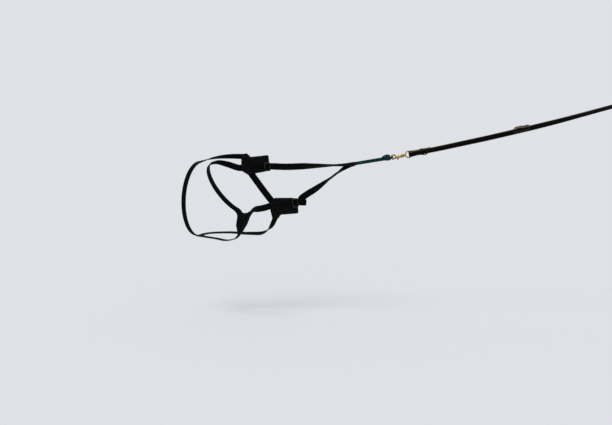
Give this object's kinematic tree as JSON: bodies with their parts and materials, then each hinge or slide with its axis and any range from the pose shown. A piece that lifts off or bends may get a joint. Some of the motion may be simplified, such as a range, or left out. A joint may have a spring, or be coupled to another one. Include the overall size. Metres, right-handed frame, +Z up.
{
  "type": "sled pulling harness and lead",
  "caption": "Padded webbing pulling harness with V traces, tug rope, swivel bolt snap and leather hand lead, shaped as worn and drawn taut.",
  "frame": {"origin": "middle of the neck opening of the harness", "axes": "+Z up, +X along the pull from the harness towards the hand loop, -Y towards the viewer"},
  "size_m": [1.8668, 0.2054, 0.6011],
  "materials": {
    "webbing": "matt woven nylon",
    "padding": "matt padded cloth",
    "slide_metal": "dull olive plating",
    "rope": "braided",
    "brass": "cast and tumbled",
    "leather": "waxed, tan raw edges",
    "dark_brass": "tarnished"
  },
  "bodies": {
    "harness": {"neck_strap_right": "webbing", "chest_plate": "padding", "chest_strap_left": "webbing", "withers_strap": "webbing", "breast_strap": "webbing", "girth_strap_right": "webbing", "girth_strap_left": "webbing", "side_pad_left": "padding", "side_pad_right": "padding", "pad_webbing_left": "webbing", "pad_webbing_right": "webbing", "slider_left": "slide_metal", "slider_right": "slide_metal", "strap_tail_left": "webbing", "strap_tail_right": "webbing", "trace_left": "webbing", "trace_right": "webbing", "bridle_lap": "webbing", "tug_rope_upper": "rope", "tug_rope_lower": "rope", "tug_knot": "rope", "tug_bight": "rope", "snap_body": "brass"},
    "snap_bolt": {"snap_bolt": "brass"},
    "lead": {"swivel_eye": "brass", "lead_fold": "leather", "lead_strap": "leather", "ring_tab": "leather", "hand_loop": "leather"},
    "lap_ring": {"lap_ring": "dark_brass"},
    "tab_ring": {"tab_ring": "dark_brass"}
  },
  "joints": [
    {"name": "snap_swivel", "type": "hinge", "parent": "harness", "child": "lead", "pos_m": [0.652, 0, 0.124], "axis": [0.9711, 0, 0.2385], "continuous": true},
    {"name": "bolt_slide", "type": "slide", "parent": "harness", "child": "snap_bolt", "axis": [0.9711, 0, 0.2385], "range_m": [0, 0.0075], "stiffness_N_per_m": 600, "springref_m": -0.005},
    {"name": "lap_ring_hinge", "type": "hinge", "parent": "lead", "child": "lap_ring", "pos_m": [0.71648, 0, 0.13802], "axis": [0.1807, 0.4226, -0.8881], "range_deg": [0, 132]},
    {"name": "tab_ring_hinge", "type": "hinge", "parent": "lead", "child": "tab_ring", "pos_m": [1.0856, -0.00555, 0.2341], "axis": [-0.9721, 0, -0.2346], "range_deg": [-2, 267]}
  ]
}
